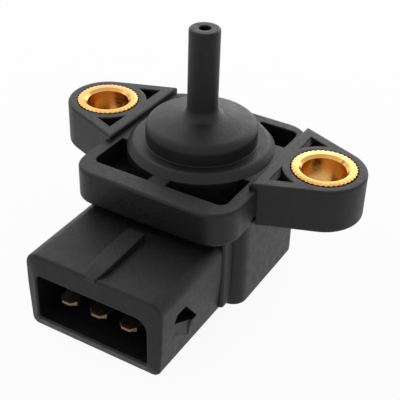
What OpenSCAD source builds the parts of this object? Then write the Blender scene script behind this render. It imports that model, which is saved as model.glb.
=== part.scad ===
// Manifold absolute pressure sensor: one moulded housing with two bolt ears, a hose nipple and a
// three-blade connector. Inside are the pressure cell, its carrier, the circuit board and a cover.
// Millimetres. The origin is on the base, midway between the two bushings. +Z runs up along the
// nipple, and the connector's mouth faces -Y.

/* [Body] */
// Width of the body and of the plate on top of it
body_w = 26.2; // [25:0.1:30]
// Height of the body, from the base to the underside of the plate
body_h = 13.75; // [13.2:0.05:15]
// Distance from the bushing line to the body's front face
body_front = 12.9; // [12.5:0.1:14]
// Distance from the bushing line to the body's back face
body_back = 6; // [5.6:0.1:8]
// Radius of the body's upright corners
body_corner_r = 2.3; // [2:0.1:3]
// Thickness of the body's side walls
body_wall = 1.7; // [1.5:0.05:2]

/* [Plate] */
// Thickness of the plate
plate_t = 5.4; // [5:0.1:6.5]
// Distance from the bushing line to the plate's front edge
plate_front = 18.6; // [18:0.1:20]
// Distance from the bushing line to the plate's back edge
plate_back = 10.5; // [10:0.1:12]
// Corner radius at the plate's front
plate_front_r = 4.5; // [3:0.1:5]
// Corner radius at the plate's back
plate_back_r = 4; // [3:0.1:4.5]
// Thickness of the plate's rim in front of the pockets
rim_front_t = 3.4; // [2.8:0.1:3.8]
// Thickness of the plate's rim beside the pockets
rim_side_t = 2.1; // [1.6:0.1:2.4]
// Thickness of the plate's rim behind the pockets
rim_back_t = 2; // [1.5:0.1:2.4]
// Depth of the pockets in the plate
pocket_depth = 3.9; // [3:0.1:4]
// Corner radius of the pockets
pocket_corner_r = 1.2; // [0.6:0.1:1.4]
// Width of the web between the two front pockets
web_w = 2.9; // [2:0.1:4]
// Distance in front of the port axis at which the front pockets end
front_pocket_end = 5; // [4.5:0.1:6]
// Distance behind the port axis at which the back pockets begin
back_pocket_start = 6; // [5.5:0.1:7]
// Distance of the back pockets from the middle plane
back_pocket_inset = 4.5; // [3.5:0.1:5.5]

/* [Ears] */
// Distance between the axes of the two bushings
bushing_pitch = 38.15; // [37.5:0.05:40]
// Wall of the ear round its bushing
ear_wall = 1.45; // [1.2:0.05:1.8]
// Thickness of the ears
ear_t = 7.05; // [6.6:0.05:7.4]
// Height of the ears' top above the plate's top
ear_raise = 0.9; // [0.4:0.05:1.2]
// Width of the raised ear's edge that lies on the plate
ear_overlap = 1.2; // [0.9:0.1:1.3]
// Half the length of the ear's root, along the plate's side
ear_root = 9.6; // [9.2:0.1:10]
// Wall between the ear's pockets and its slanted outline
ear_pocket_wall = 1.75; // [1.4:0.05:2]
// Width of the rail between the plate and the ear's pockets
ear_rail = 1.8; // [1.5:0.1:2]
// Wall between the ear's pockets and the bushing
ear_ring_wall = 1.3; // [1:0.05:1.4]
// Depth of the ear's pockets
ear_pocket_depth = 5.2; // [4:0.1:5.6]
// Width of the bevel on the rail side of the ear's pockets
ear_bevel = 0.6; // [0.3:0.05:0.8]

/* [Bushings] */
// Outer radius over the knurl
bushing_r = 4.9; // [4.7:0.05:5.2]
// Radius of the bolt hole
bolt_hole_r = 3.3; // [3.1:0.05:3.5]
// Height of a bushing's end above the ear's face
bushing_proud = 0.1; // [0:0.05:0.3]
// Lead-in chamfer of the bolt hole
bushing_chamfer = 0.45; // [0.3:0.05:1]
// Number of knurl teeth
knurl_teeth = 40; // [30:1:80]
// Depth of the knurl
knurl_depth = 0.2; // [0.08:0.01:0.25]

/* [Port] */
// Distance of the port's axis in front of the bushing line
port_offset = 2.6; // [2.3:0.1:3]
// Radius of the ring boss where it meets the plate
ring_r = 11.2; // [11:0.05:11.6]
// Radius of the ring boss's flat top
ring_flat_r = 9.8; // [9.4:0.1:10.4]
// Height of the ring boss above the plate
ring_h = 1.15; // [0.8:0.05:1.5]
// Radius of the disc
disc_r = 8.45; // [8.2:0.05:8.8]
// Height of the disc's upright side
disc_side_h = 2.15; // [1.8:0.05:3]
// Rounding of the disc's rim
disc_rim_r = 1; // [0.6:0.1:1.4]
// Rise of the disc's top from its rim to the foot of the nipple
disc_rise = 0.75; // [0.4:0.05:1.2]
// Rounding at the foot of the nipple
nipple_fillet_r = 1.05; // [0.6:0.05:1.4]
// Outer radius of the nipple
nipple_r = 2.3; // [2.1:0.05:2.6]
// Length of the nipple above its rounded foot
nipple_l = 12.8; // [10:0.1:16]
// Rounding of the nipple's tip
nipple_tip_r = 0.35; // [0.2:0.05:0.6]
// Radius of the pressure passage
passage_r = 0.85; // [0.6:0.05:1]
// Radius of the well under the disc
well_r = 6.3; // [6.1:0.05:6.6]
// Thickness of the disc above the well
well_roof = 1.9; // [1.5:0.1:2.4]

/* [Connector] */
// Distance from the bushing line to the connector's mouth
mouth_front = 31.8; // [30:0.1:34]
// Thickness of the walls beside the cavity
shroud_side_t = 2.13; // [1.9:0.01:2.4]
// Thickness of the wall above the cavity
shroud_roof_t = 3.17; // [2.9:0.01:3.5]
// Draft of the shroud's sides, at its bottom
shroud_draft = 0.3; // [0:0.05:0.5]
// Height of the parting line on the shroud's sides
parting_z = 7.2; // [6:0.1:8]
// Radius of the shroud's upper corners
shroud_top_r = 2; // [1:0.1:2.6]
// Radius of the shroud's lower corners
shroud_bottom_r = 1.2; // [0.6:0.1:1.8]
// Width of the cavity
cavity_w = 18.24; // [17.6:0.02:18.8]
// Height of the cavity
cavity_h = 7.45; // [7:0.05:8]
// Thickness of the wall under the cavity
cavity_floor = 2.08; // [1.6:0.02:2.2]
// Depth of the cavity
cavity_depth = 13.3; // [12:0.1:14]
// Radius of the cavity's upper right corner, which keys the plug
cavity_key_r = 1.9; // [1.2:0.1:2.5]
// Radius of the cavity's upper left corner
cavity_corner_r = 0.7; // [0.4:0.1:1.2]
// Reach of the flange at the shroud's root beyond each side of the shroud
flange_lip = 0.35; // [0.1:0.05:0.6]
// Thickness of the flange at the shroud's root
flange_t = 2.4; // [1:0.1:4]
// Height of the flange's lower edge
flange_z = 1; // [0.5:0.1:3]

/* [Latch] */
// Distance from the mouth to the latch ramp's tip
ramp_start = 0.4; // [0:0.1:2]
// Length of the latch ramp
ramp_l = 11.1; // [9:0.1:12]
// Length of the ramp's nose, which slopes and widens
ramp_nose_l = 3; // [1:0.1:5]
// Height of the latch ramp at the end of its nose
ramp_nose_h = 0.85; // [0.3:0.05:0.9]
// Height of the latch ramp at its back
ramp_h = 1.1; // [0.9:0.05:1.2]
// Width of the latch ramp at its tip
ramp_front_w = 1.5; // [1:0.1:2.4]
// Width of the latch ramp behind its nose
ramp_back_w = 2.9; // [2.4:0.1:4]
// Distance from the mouth to the side windows
window_start = 3.5; // [3:0.1:6]
// Length of the side windows
window_l = 6.4; // [5:0.1:6.5]
// Height of the side windows' upper edge
window_top = 8.6; // [7.8:0.1:8.8]
// Height of a window's upper edge above its tip, which points to the mouth
window_nose_h = 1.3; // [0.8:0.1:1.6]
// Length of the slanted edge above the tip, along the shroud
window_lean = 1; // [0.3:0.1:1.4]
// Drop of a window's sill from the tip to its level end
window_fall = 2.7; // [1:0.1:3]
// Length of the sill's level end
window_toe = 1.3; // [0.5:0.1:2]
// Length of a window's slanted back edge, along the shroud
window_slant = 3.2; // [2.2:0.1:3.5]
// Height of the hollow below each side window
hollow_h = 2.4; // [1:0.1:2.6]
// Depth of the hollow at the window's sill
hollow_d = 0.45; // [0.3:0.05:1.2]
// Slant of the hollow's ends, along the shroud
hollow_lean = 0.7; // [0.2:0.1:1.4]

/* [Terminals] */
// Distance between neighbouring blades
blade_pitch = 5; // [4.8:0.05:5.2]
// Width of a blade
blade_w = 2.8; // [2.4:0.1:3]
// Thickness of a blade
blade_t = 0.8; // [0.6:0.05:0.9]
// Height of the blades' middle above the base
blade_z = 5.6; // [5.4:0.05:5.8]
// Distance from the mouth to the blades' tips
blade_setback = 1.2; // [0.6:0.1:3]
// Length of the bevel at a blade's tip
blade_bevel = 0.7; // [0.3:0.05:1]
// Width of a blade's tail
tail_w = 1.2; // [0.9:0.05:1.3]
// Distance from the chamber's front wall to the tails
tail_inset = 2.4; // [2.2:0.05:2.5]
// Length of the tails above the board
tail_proud = 0.5; // [0.3:0.05:0.8]

/* [Chamber] */
// Height of the chamber's ceiling above the base
chamber_top = 12.2; // [11.8:0.05:12.6]
// Width of the ledge that the board is pressed against
ledge_w = 1.2; // [0.8:0.05:1.2]
// Thickness of the cover
cover_t = 1.6; // [1.2:0.1:2]
// Thickness of the body's rim round the cover
cover_rim = 0.8; // [0.6:0.05:0.9]
// Width of the sealant round the cover
sealant_w = 0.5; // [0.3:0.05:0.55]
// Depth of the sealant's face below the base
sealant_sink = 0.2; // [0.1:0.05:0.5]

/* [Board] */
// Height of the board's underside above the base
board_z = 7.6; // [7.2:0.05:7.8]
// Thickness of the board
board_t = 1; // [0.6:0.1:1.2]
// Gap between the board and the chamber's walls
board_gap = 0.15; // [0.1:0.05:0.4]
// Radius of the holes for the tails
tail_hole_r = 0.8; // [0.78:0.02:0.9]
// Radius of a solder fillet on the board
solder_r = 1.05; // [0.95:0.05:1.1]
// Height of a solder fillet
solder_h = 0.45; // [0.3:0.05:0.5]

/* [Pressure cell] */
// Side of the carrier's square base
carrier_w = 9.8; // [9.4:0.1:9.9]
// Height of the carrier's square base
carrier_base_h = 2.2; // [1.8:0.05:2.4]
// Radius of the carrier's collar, which the ring rests on
collar_r = 6; // [5.7:0.05:6.05]
// Height of the carrier's collar
collar_h = 1.6; // [1.45:0.05:1.9]
// Radius of the carrier's snout
snout_r = 4.5; // [4.3:0.05:4.6]
// Height of the carrier's snout above the collar
snout_h = 4; // [3:0.1:5]
// Radius of the cup in the snout
cup_r = 3.2; // [2.8:0.1:3.4]
// Depth of the cup in the snout
cup_depth = 3.6; // [3:0.1:4]
// Depth of the gel's face below the snout's end
gel_sink = 0.7; // [0.4:0.1:1]
// Side of the glass pedestal and the die on it
die_w = 2.2; // [1.6:0.1:2.8]
// Height of the glass pedestal
pedestal_h = 1; // [0.6:0.1:1.2]
// Thickness of the die
die_t = 0.5; // [0.3:0.05:0.7]

/* [Electronics] */
// Length of the conditioning chip
chip_l = 5; // [4.6:0.1:5.4]
// Width of the conditioning chip
chip_w = 3.9; // [3.5:0.1:4.2]
// Thickness of the conditioning chip
chip_t = 1.4; // [1.2:0.05:1.6]
// Distance between neighbouring leads
lead_pitch = 1.27; // [1.2:0.01:1.3]
// Width of a lead
lead_w = 0.42; // [0.3:0.02:0.6]
// Thickness of a lead
lead_t = 0.2; // [0.15:0.01:0.25]
// Reach of a lead beyond its package
lead_reach = 1; // [0.8:0.05:1.1]
// Length of a chip capacitor
cap_l = 2; // [1.6:0.1:2.2]
// Width of a chip capacitor
cap_w = 1.25; // [1:0.05:1.4]
// Height of a chip capacitor
cap_h = 1; // [0.7:0.05:1.2]
// Length of a chip resistor
res_l = 3.2; // [2:0.1:3.4]
// Width of a chip resistor
res_w = 1.6; // [1.2:0.1:1.8]
// Height of a chip resistor
res_h = 0.55; // [0.4:0.05:0.7]

/* [Fits] */
// Gap between pieces that are moulded, pressed or bonded together
fit_gap = 0.02; // [0.01:0.01:0.05]

/* [Hidden] */
$fn = 96;
// Extra length by which a cut passes through a face
cut = 1;
half_w = body_w / 2;
port_y = -port_offset;
plate_top = body_h + plate_t;
ear_top = plate_top + ear_raise;
ear_bottom = ear_top - ear_t;
bushing_x = bushing_pitch / 2;
ear_r = bushing_r + ear_wall;
ear_step_x = half_w - ear_overlap;
rail_x = ear_step_x + ear_rail;
ear_ring_r = bushing_r + ear_ring_wall;
// Reach of the ear from its root to its bushing, and the angle at which its slanted side touches
// the circle round the bushing
ear_reach = bushing_x - ear_step_x;
ear_turn = atan2(ear_root, -ear_reach) - acos(ear_r / norm([ear_reach, ear_root]));
bushing_l = ear_t + 2 * bushing_proud;
bushing_z = ear_bottom - bushing_proud;
ring_top = plate_top + ring_h;
disc_side_top = ring_top + disc_side_h;
disc_top = disc_side_top + disc_rim_r;
nipple_foot = disc_top + disc_rise;
nipple_start = nipple_foot + nipple_fillet_r;
nipple_end = nipple_start + nipple_l;
well_top = disc_top - well_roof;
pocket_floor = plate_top - pocket_depth;
mouth_y = -mouth_front;
cavity_back_y = mouth_y + cavity_depth;
cavity_half_w = cavity_w / 2;
cavity_top = cavity_floor + cavity_h;
shroud_half_w = cavity_half_w + shroud_side_t;
shroud_h = cavity_top + shroud_roof_t;
flange_half_w = shroud_half_w + flange_lip;
flange_y = -body_front - flange_t;
chamber_x = half_w - body_wall;
chamber_front = -body_front + body_wall;
chamber_back = body_back - body_wall;
chamber_corner_r = body_corner_r - body_wall;
ledge_z = board_z + board_t;
rebate_corner_r = body_corner_r - cover_rim;
tail_y = chamber_front + tail_inset;
blade_tip_y = mouth_y + blade_setback;
tail_top = ledge_z + tail_proud;
carrier_top = ledge_z + carrier_base_h;
collar_top = carrier_top + collar_h;
snout_top = collar_top + snout_h;
cup_floor = snout_top - cup_depth;
pedestal_top = cup_floor + pedestal_h;
die_top = pedestal_top + die_t;
gel_top = snout_top - gel_sink;
o_ring_section_r = (well_r - snout_r) / 2 - fit_gap;
// Middle of the strip of board between the carrier's leads and the ledge, where the small parts sit
side_strip_x = (carrier_w / 2 + fit_gap + lead_reach + chamber_x - ledge_w) / 2;
// Distance between small parts along that strip
strip_step = 3.4;

plastic_black = "#2b2b2d";
brass = "#c99a4a";
blade_bronze = "#8a6d45";
tin = "#c2c2c0";

// Points of an arc about (x, y), from angle a to angle b, in steps
function arc(x, y, r, a, b, steps = 8) =
    [for (i = [0:steps]) [x + r * cos(a + (b - a) * i / steps), y + r * sin(a + (b - a) * i / steps)]];

// Rectangle from (x0, y0) to (x1, y1) with corners of radius rf at y0 and rb at y1
module soft_rect(x0, x1, y0, y1, rf, rb) {
    polygon([[x0 + rf, y0], [x1 - rf, y0], [x1, y0 + rf], [x1, y1 - rb],
        [x1 - rb, y1], [x0 + rb, y1], [x0, y1 - rb], [x0, y0 + rf]]);
    for (x = [x0 + rf, x1 - rf]) translate([x, y0 + rf]) circle(r = rf);
    for (x = [x0 + rb, x1 - rb]) translate([x, y1 - rb]) circle(r = rb);
}

// Upright prism with rounded corners, symmetric about the middle plane
module soft_block(half, y0, y1, r, z0, z1) {
    translate([0, 0, z0]) linear_extrude(z1 - z0) soft_rect(-half, half, y0, y1, r, r);
}

// Outline of the right ear: a circle round the bushing and its tangents from the root's corners
module ear_outline() {
    tx = bushing_x + ear_r * cos(ear_turn);
    ty = ear_r * sin(ear_turn);
    polygon([[ear_step_x, -ear_root], [tx, -ty], [tx, ty], [ear_step_x, ear_root]]);
    translate([bushing_x, 0]) circle(r = ear_r);
}

// One pocket of the right ear, on the +Y side: a wedge between the rail, the slanted wall and the
// ring of plastic round the bushing, grown by g towards the rail
module ear_pocket_shape(g = 0) {
    slope = -cos(ear_turn) / sin(ear_turn);
    drop = ear_pocket_wall / sin(ear_turn);
    near_x = rail_x + ear_bevel - g;
    far_y = ear_root + slope * ear_reach - drop;
    difference() {
        polygon([[near_x, 0], [bushing_x, 0], [bushing_x, far_y],
            [near_x, ear_root + slope * (near_x - ear_step_x) - drop]]);
        translate([bushing_x, 0]) circle(r = ear_ring_r);
    }
}

// The right ear before its pockets and bushing hole are cut
module ear_solid() {
    translate([0, 0, ear_bottom]) linear_extrude(ear_t) ear_outline();
}

// Cuts of the right ear: two pockets with a shallow bevelled edge, and the bushing hole
module ear_cuts() {
    for (s = [0, 1]) mirror([0, s, 0]) {
        translate([0, 0, ear_top - ear_pocket_depth])
            linear_extrude(ear_pocket_depth + cut) ear_pocket_shape();
        intersection() {
            translate([0, 0, ear_top - ear_bevel])
                linear_extrude(ear_bevel + cut) ear_pocket_shape(ear_bevel);
            rotate([90, 0, 0]) translate([0, 0, -ear_root]) linear_extrude(ear_root)
                polygon([[rail_x, ear_top], [rail_x + ear_bevel, ear_top - ear_bevel],
                    [bushing_x, ear_top - ear_bevel], [bushing_x, ear_top + cut], [rail_x, ear_top + cut]]);
        }
    }
    translate([bushing_x, 0, ear_bottom - cut]) cylinder(r = bushing_r + fit_gap, h = ear_t + 2 * cut);
}

// The four pockets in the plate: a rounded rectangle less the ring boss and the webs between them
module plate_pockets() {
    side = half_w - rim_side_t;
    front = -plate_front + rim_front_t;
    back = plate_back - rim_back_t;
    pocket_gap = front_pocket_end + back_pocket_start;
    translate([0, 0, pocket_floor]) linear_extrude(pocket_depth + cut) difference() {
        soft_rect(-side, side, front, back, pocket_corner_r, pocket_corner_r);
        translate([0, port_y]) circle(r = ring_r);
        translate([-web_w / 2, front - cut]) square([web_w, port_y - front + cut]);
        translate([-half_w, port_y - front_pocket_end]) square([body_w, pocket_gap]);
        translate([-back_pocket_inset, port_y]) square([2 * back_pocket_inset, back - port_y + cut]);
    }
}

// Ring boss, disc and nipple turned about the port's axis
module port_solid() {
    translate([0, port_y, 0]) rotate_extrude() polygon(concat(
        [[0, chamber_top], [ring_r, chamber_top], [ring_r, plate_top], [ring_flat_r, ring_top],
            [disc_r, ring_top]],
        arc(disc_r - disc_rim_r, disc_side_top, disc_rim_r, 0, 90),
        arc(nipple_r + nipple_fillet_r, nipple_start, nipple_fillet_r, 270, 180),
        arc(nipple_r - nipple_tip_r, nipple_end - nipple_tip_r, nipple_tip_r, 0, 90, 5),
        [[0, nipple_end]]));
}

// Passage down the nipple and the well that it opens into, which starts at the board so that the
// carrier's collar stands clear of the ledge
module port_cuts() {
    translate([0, port_y, 0]) {
        cylinder(r = passage_r, h = nipple_end + cut);
        translate([0, 0, ledge_z]) cylinder(r = well_r, h = well_top - ledge_z);
    }
}

// Section of the shroud, with the parting line at its widest
module shroud_section() {
    low = shroud_half_w - shroud_draft;
    polygon(concat(
        [[shroud_half_w, parting_z]],
        arc(shroud_half_w - shroud_top_r, shroud_h - shroud_top_r, shroud_top_r, 0, 90),
        arc(-shroud_half_w + shroud_top_r, shroud_h - shroud_top_r, shroud_top_r, 90, 180),
        [[-shroud_half_w, parting_z]],
        arc(-low + shroud_bottom_r, shroud_bottom_r, shroud_bottom_r, 180, 270),
        arc(low - shroud_bottom_r, shroud_bottom_r, shroud_bottom_r, 270, 360)));
}

// Section of the cavity, with the rounded corner that keys the plug
module cavity_section() {
    polygon(concat(
        [[-cavity_half_w, cavity_floor], [cavity_half_w, cavity_floor]],
        arc(cavity_half_w - cavity_key_r, cavity_top - cavity_key_r, cavity_key_r, 0, 90),
        arc(-cavity_half_w + cavity_corner_r, cavity_top - cavity_corner_r, cavity_corner_r, 90, 180)));
}

// Carries an XZ section from y0 to y1
module along_y(y0, y1) {
    translate([0, y1, 0]) rotate([90, 0, 0]) linear_extrude(y1 - y0) children();
}

// Bar on the shroud's top that the plug's latch rides over, with a nose that slopes and widens
module latch_ramp() {
    front = mouth_y + ramp_start;
    nose = front + ramp_nose_l;
    back = front + ramp_l;
    tip = ramp_front_w / 2;
    side = ramp_back_w / 2;
    intersection() {
        along_x(-side, side) polygon([[front, shroud_h], [front, shroud_h - cut],
            [back, shroud_h - cut], [back, shroud_h + ramp_h], [nose, shroud_h + ramp_nose_h]]);
        linear_extrude(shroud_h + ramp_h + cut) polygon([[-tip, front], [tip, front],
            [side, nose], [side, back], [-side, back], [-side, nose]]);
    }
}

// Carries a YZ section from x0 to x1
module along_x(x0, x1) {
    translate([x0, 0, 0]) rotate([90, 0, 90]) linear_extrude(x1 - x0) children();
}

// Window through the right side of the shroud: a wedge that widens away from the mouth, with a
// shallow hollow below its sill whose floor leans out towards the shroud's side
module side_window() {
    front = mouth_y + window_start;
    back = front + window_l;
    toe = back - window_toe;
    tip_z = window_top - window_nose_h;
    sill_z = tip_z - window_fall;
    outside = shroud_half_w + cut;
    sill_x = shroud_half_w - hollow_d;
    foot_x = shroud_half_w - shroud_draft;
    along_x(cavity_half_w - cut, outside) polygon([[front, tip_z], [toe, sill_z], [back, sill_z],
        [back - window_slant, window_top], [front + window_lean, window_top]]);
    intersection() {
        along_x(cavity_half_w, outside) polygon([[front, tip_z], [front + hollow_lean, tip_z - hollow_h],
            [toe - hollow_lean, sill_z - hollow_h], [toe, sill_z]]);
        translate([0, front, tip_z]) rotate([-atan2(window_fall, toe - front), 0, 0])
            along_y(-hollow_h, window_l + hollow_h) polygon([[2 * sill_x - foot_x, hollow_h],
                [2 * foot_x - sill_x, -2 * hollow_h], [outside, -2 * hollow_h], [outside, hollow_h]]);
    }
}

// Room inside the body: the rebate for the cover, the chamber below the board and above it
module chamber_cuts() {
    rim = half_w - cover_rim;
    soft_block(rim, -body_front + cover_rim, body_back - cover_rim, rebate_corner_r, -cut, cover_t);
    soft_block(chamber_x, chamber_front, chamber_back, chamber_corner_r, -cut, ledge_z);
    soft_block(chamber_x - ledge_w, chamber_front + ledge_w, chamber_back - ledge_w,
        chamber_corner_r, -cut, chamber_top);
}

module housing() {
    color(plastic_black) difference() {
        union() {
            soft_block(half_w, -body_front, body_back, body_corner_r, 0, body_h + cut);
            translate([0, 0, body_h]) linear_extrude(plate_t)
                soft_rect(-half_w, half_w, -plate_front, plate_back, plate_front_r, plate_back_r);
            for (s = [0, 1]) mirror([s, 0, 0]) ear_solid();
            port_solid();
            along_y(mouth_y, -body_front + body_wall) shroud_section();
            translate([-flange_half_w, flange_y, flange_z])
                cube([2 * flange_half_w, flange_t + body_wall, body_h - flange_z]);
            latch_ramp();
        }
        plate_pockets();
        for (s = [0, 1]) mirror([s, 0, 0]) {
            ear_cuts();
            side_window();
        }
        port_cuts();
        along_y(mouth_y - cut, cavity_back_y) cavity_section();
        chamber_cuts();
        for (i = [-1:1]) blade_slot(i * blade_pitch);
    }
}

// Slot in which one blade is moulded
module blade_slot(x) {
    translate([x - blade_w / 2 - fit_gap, cavity_back_y - cut, blade_z - blade_t / 2 - fit_gap])
        cube([blade_w + 2 * fit_gap, chamber_front - cavity_back_y + 2 * cut, blade_t + 2 * fit_gap]);
}

// Brass bushing with a knurled outside and a chamfered bolt hole, centred on x
module bushing(x) {
    color(brass) translate([x, 0, bushing_z]) difference() {
        linear_extrude(bushing_l) polygon([for (i = [0:2 * knurl_teeth - 1])
            let (r = i % 2 == 0 ? bushing_r : bushing_r - knurl_depth, a = 180 * i / knurl_teeth)
                [r * cos(a), r * sin(a)]]);
        rotate_extrude() polygon([[0, -cut], [bolt_hole_r + bushing_chamfer + cut, -cut],
            [bolt_hole_r, bushing_chamfer], [bolt_hole_r, bushing_l - bushing_chamfer],
            [bolt_hole_r + bushing_chamfer + cut, bushing_l + cut], [0, bushing_l + cut]]);
    }
}

module bushing_left() bushing(-bushing_x);
module bushing_right() bushing(bushing_x);

// Flat blade from its bevelled tip into the chamber, with a narrow tail up through the board
module terminal(x) {
    low = blade_z - blade_t / 2;
    end_y = tail_y + blade_t / 2;
    color(blade_bronze) translate([x, 0, 0]) {
        intersection() {
            translate([-blade_w / 2, blade_tip_y, low]) cube([blade_w, end_y - blade_tip_y, blade_t]);
            translate([0, 0, low]) linear_extrude(blade_t)
                polygon([[-blade_w / 2 + blade_bevel, blade_tip_y], [blade_w / 2 - blade_bevel, blade_tip_y],
                    [blade_w / 2, blade_tip_y + blade_bevel], [blade_w / 2, end_y],
                    [-blade_w / 2, end_y], [-blade_w / 2, blade_tip_y + blade_bevel]]);
            along_x(-blade_w / 2, blade_w / 2) polygon([[blade_tip_y, blade_z - blade_t / 4],
                [blade_tip_y + blade_bevel, low], [end_y, low], [end_y, low + blade_t],
                [blade_tip_y + blade_bevel, low + blade_t], [blade_tip_y, blade_z + blade_t / 4]]);
        }
        translate([-tail_w / 2, tail_y - blade_t / 2, low]) cube([tail_w, blade_t, tail_top - low]);
    }
}

module terminal_supply() terminal(-blade_pitch);
module terminal_signal() terminal(0);
module terminal_ground() terminal(blade_pitch);

module base_cover() {
    inset = cover_rim + sealant_w;
    color(plastic_black) soft_block(half_w - inset, -body_front + inset, body_back - inset,
        rebate_corner_r - sealant_w, 0, cover_t - fit_gap);
}

module cover_sealant() {
    outer = cover_rim + fit_gap;
    inner = cover_rim + sealant_w - fit_gap;
    color("#3b3936") difference() {
        soft_block(half_w - outer, -body_front + outer, body_back - outer,
            rebate_corner_r - fit_gap, sealant_sink, cover_t - fit_gap);
        soft_block(half_w - inner, -body_front + inner, body_back - inner,
            rebate_corner_r - sealant_w + fit_gap, sealant_sink - cut, cover_t + cut);
    }
}

module circuit_board() {
    color("#2f5d3a") difference() {
        soft_block(chamber_x - board_gap, chamber_front + board_gap, chamber_back - board_gap,
            chamber_corner_r - board_gap, board_z, ledge_z - fit_gap);
        for (i = [-1:1]) translate([i * blade_pitch, tail_y, board_z - cut])
            cylinder(r = tail_hole_r, h = board_t + 2 * cut);
    }
}

// Cone of solder round each tail, on top of the board
module solder_fillets() {
    hole = [tail_w + 2 * fit_gap, blade_t + 2 * fit_gap, solder_h + 2 * cut];
    color(tin) for (i = [-1:1]) translate([i * blade_pitch, tail_y, ledge_z]) difference() {
        cylinder(r1 = solder_r, r2 = tail_hole_r, h = solder_h);
        translate([-hole.x / 2, -hole.y / 2, -cut]) cube(hole);
    }
}

// Carrier of the pressure cell: square base, round collar and a snout with a cup
module sensor_package() {
    color("#1f2022") translate([0, port_y, 0]) difference() {
        union() {
            translate([-carrier_w / 2, -carrier_w / 2, ledge_z])
                cube([carrier_w, carrier_w, carrier_base_h]);
            translate([0, 0, carrier_top]) cylinder(r = collar_r, h = collar_h);
            translate([0, 0, collar_top]) cylinder(r = snout_r, h = snout_h);
        }
        translate([0, 0, cup_floor]) cylinder(r = cup_r, h = cup_depth + cut);
    }
}

// Bent lead that leaves a package along +X at x = 0 and stands on the board at z = 0
module lead(rise) {
    bend = lead_reach / 2;
    rotate([90, 0, 0]) translate([0, 0, -lead_w / 2]) linear_extrude(lead_w) polygon([
        [0, rise], [0, rise - lead_t], [bend - lead_t, rise - lead_t], [bend - lead_t, 0],
        [lead_reach, 0], [lead_reach, lead_t], [bend, lead_t], [bend, rise]]);
}

// Leads in two rows along Y, for a package that is w wide and whose middle is at the origin
module lead_rows(w, count, rise) {
    for (s = [0, 1], i = [0:count - 1]) mirror([s, 0, 0])
        translate([w / 2 + fit_gap, (i - (count - 1) / 2) * lead_pitch, 0]) lead(rise);
}

module package_leads() {
    color(tin) translate([0, port_y, ledge_z]) lead_rows(carrier_w, 3, carrier_base_h / 2);
}

module glass_pedestal() {
    color("#cfe0e4") translate([-die_w / 2, port_y - die_w / 2, cup_floor]) cube([die_w, die_w, pedestal_h]);
}

module sensing_die() {
    color("#6f7480") translate([-die_w / 2, port_y - die_w / 2, pedestal_top]) cube([die_w, die_w, die_t]);
}

module protective_gel() {
    hole = die_w + 2 * fit_gap;
    hole_h = die_top + fit_gap - cup_floor + cut;
    color("#d8dde0") translate([0, port_y, 0]) difference() {
        translate([0, 0, cup_floor]) cylinder(r = cup_r - fit_gap, h = gel_top - cup_floor);
        translate([-hole / 2, -hole / 2, cup_floor - cut]) cube([hole, hole, hole_h]);
    }
}

// Ring between the snout and the well, resting on the carrier's collar
module port_o_ring() {
    color("#1a1a1a") translate([0, port_y, collar_top + o_ring_section_r + fit_gap])
        rotate_extrude() translate([(well_r + snout_r) / 2, 0]) circle(r = o_ring_section_r, $fn = 32);
}

// Hangs a part of height h under the board at (x, y)
module under_board(x, y, h) {
    translate([x, y, board_z - h]) children();
}

module conditioning_chip() {
    color("#202124") under_board(0, port_y, chip_t + lead_t)
        translate([-chip_w / 2, -chip_l / 2, 0]) cube([chip_w, chip_l, chip_t]);
}

module chip_leads() {
    color(tin) translate([0, port_y, board_z]) mirror([0, 0, 1]) lead_rows(chip_w, 4, chip_t / 2 + lead_t);
}

// Chip part with its length along Y, standing on the board beside the carrier
module side_part(x, y, l, w, h) {
    translate([x - w / 2, port_y + y - l / 2, ledge_z]) cube([w, l, h]);
}

module supply_capacitor() color("#b59a78") side_part(side_strip_x, -strip_step, cap_l, cap_w, cap_h);
module output_capacitor() color("#b59a78") side_part(side_strip_x, 0, cap_l, cap_w, cap_h);
module filter_capacitor() color("#b59a78") side_part(side_strip_x, strip_step, cap_l, cap_w, cap_h);
module load_resistor() color("#2a2b30") side_part(-side_strip_x, -strip_step / 2, res_l, res_w, res_h);
module output_resistor() color("#2a2b30") side_part(-side_strip_x, strip_step, res_l, res_w, res_h);

housing();
bushing_left();
bushing_right();
terminal_supply();
terminal_signal();
terminal_ground();
base_cover();
cover_sealant();
circuit_board();
solder_fillets();
sensor_package();
package_leads();
glass_pedestal();
sensing_die();
protective_gel();
port_o_ring();
conditioning_chip();
chip_leads();
supply_capacitor();
output_capacitor();
filter_capacitor();
load_resistor();
output_resistor();
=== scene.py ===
"""Manifold absolute pressure sensor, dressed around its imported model.

Lengths are written in millimetres, in the part's own frame: Z runs up the nipple, the mouth of the
connector faces -Y and the two ears lie along X.
"""

import math

import bpy
import numpy as np
from mathutils import Matrix, Quaternion, Vector
from mathutils.geometry import tessellate_polygon


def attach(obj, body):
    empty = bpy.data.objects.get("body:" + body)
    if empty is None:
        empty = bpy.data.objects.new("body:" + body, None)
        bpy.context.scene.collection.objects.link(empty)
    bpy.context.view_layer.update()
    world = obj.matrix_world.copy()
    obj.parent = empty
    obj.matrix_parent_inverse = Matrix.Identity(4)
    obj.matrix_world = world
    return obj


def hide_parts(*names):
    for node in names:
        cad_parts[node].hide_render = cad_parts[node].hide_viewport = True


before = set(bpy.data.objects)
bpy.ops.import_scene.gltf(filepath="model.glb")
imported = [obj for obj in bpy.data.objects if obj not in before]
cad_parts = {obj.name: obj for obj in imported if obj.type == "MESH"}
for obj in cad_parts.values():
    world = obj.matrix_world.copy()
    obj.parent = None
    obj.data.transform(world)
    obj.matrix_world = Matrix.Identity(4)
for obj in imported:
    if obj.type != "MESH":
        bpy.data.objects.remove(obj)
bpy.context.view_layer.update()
MM = 0.001

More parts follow.
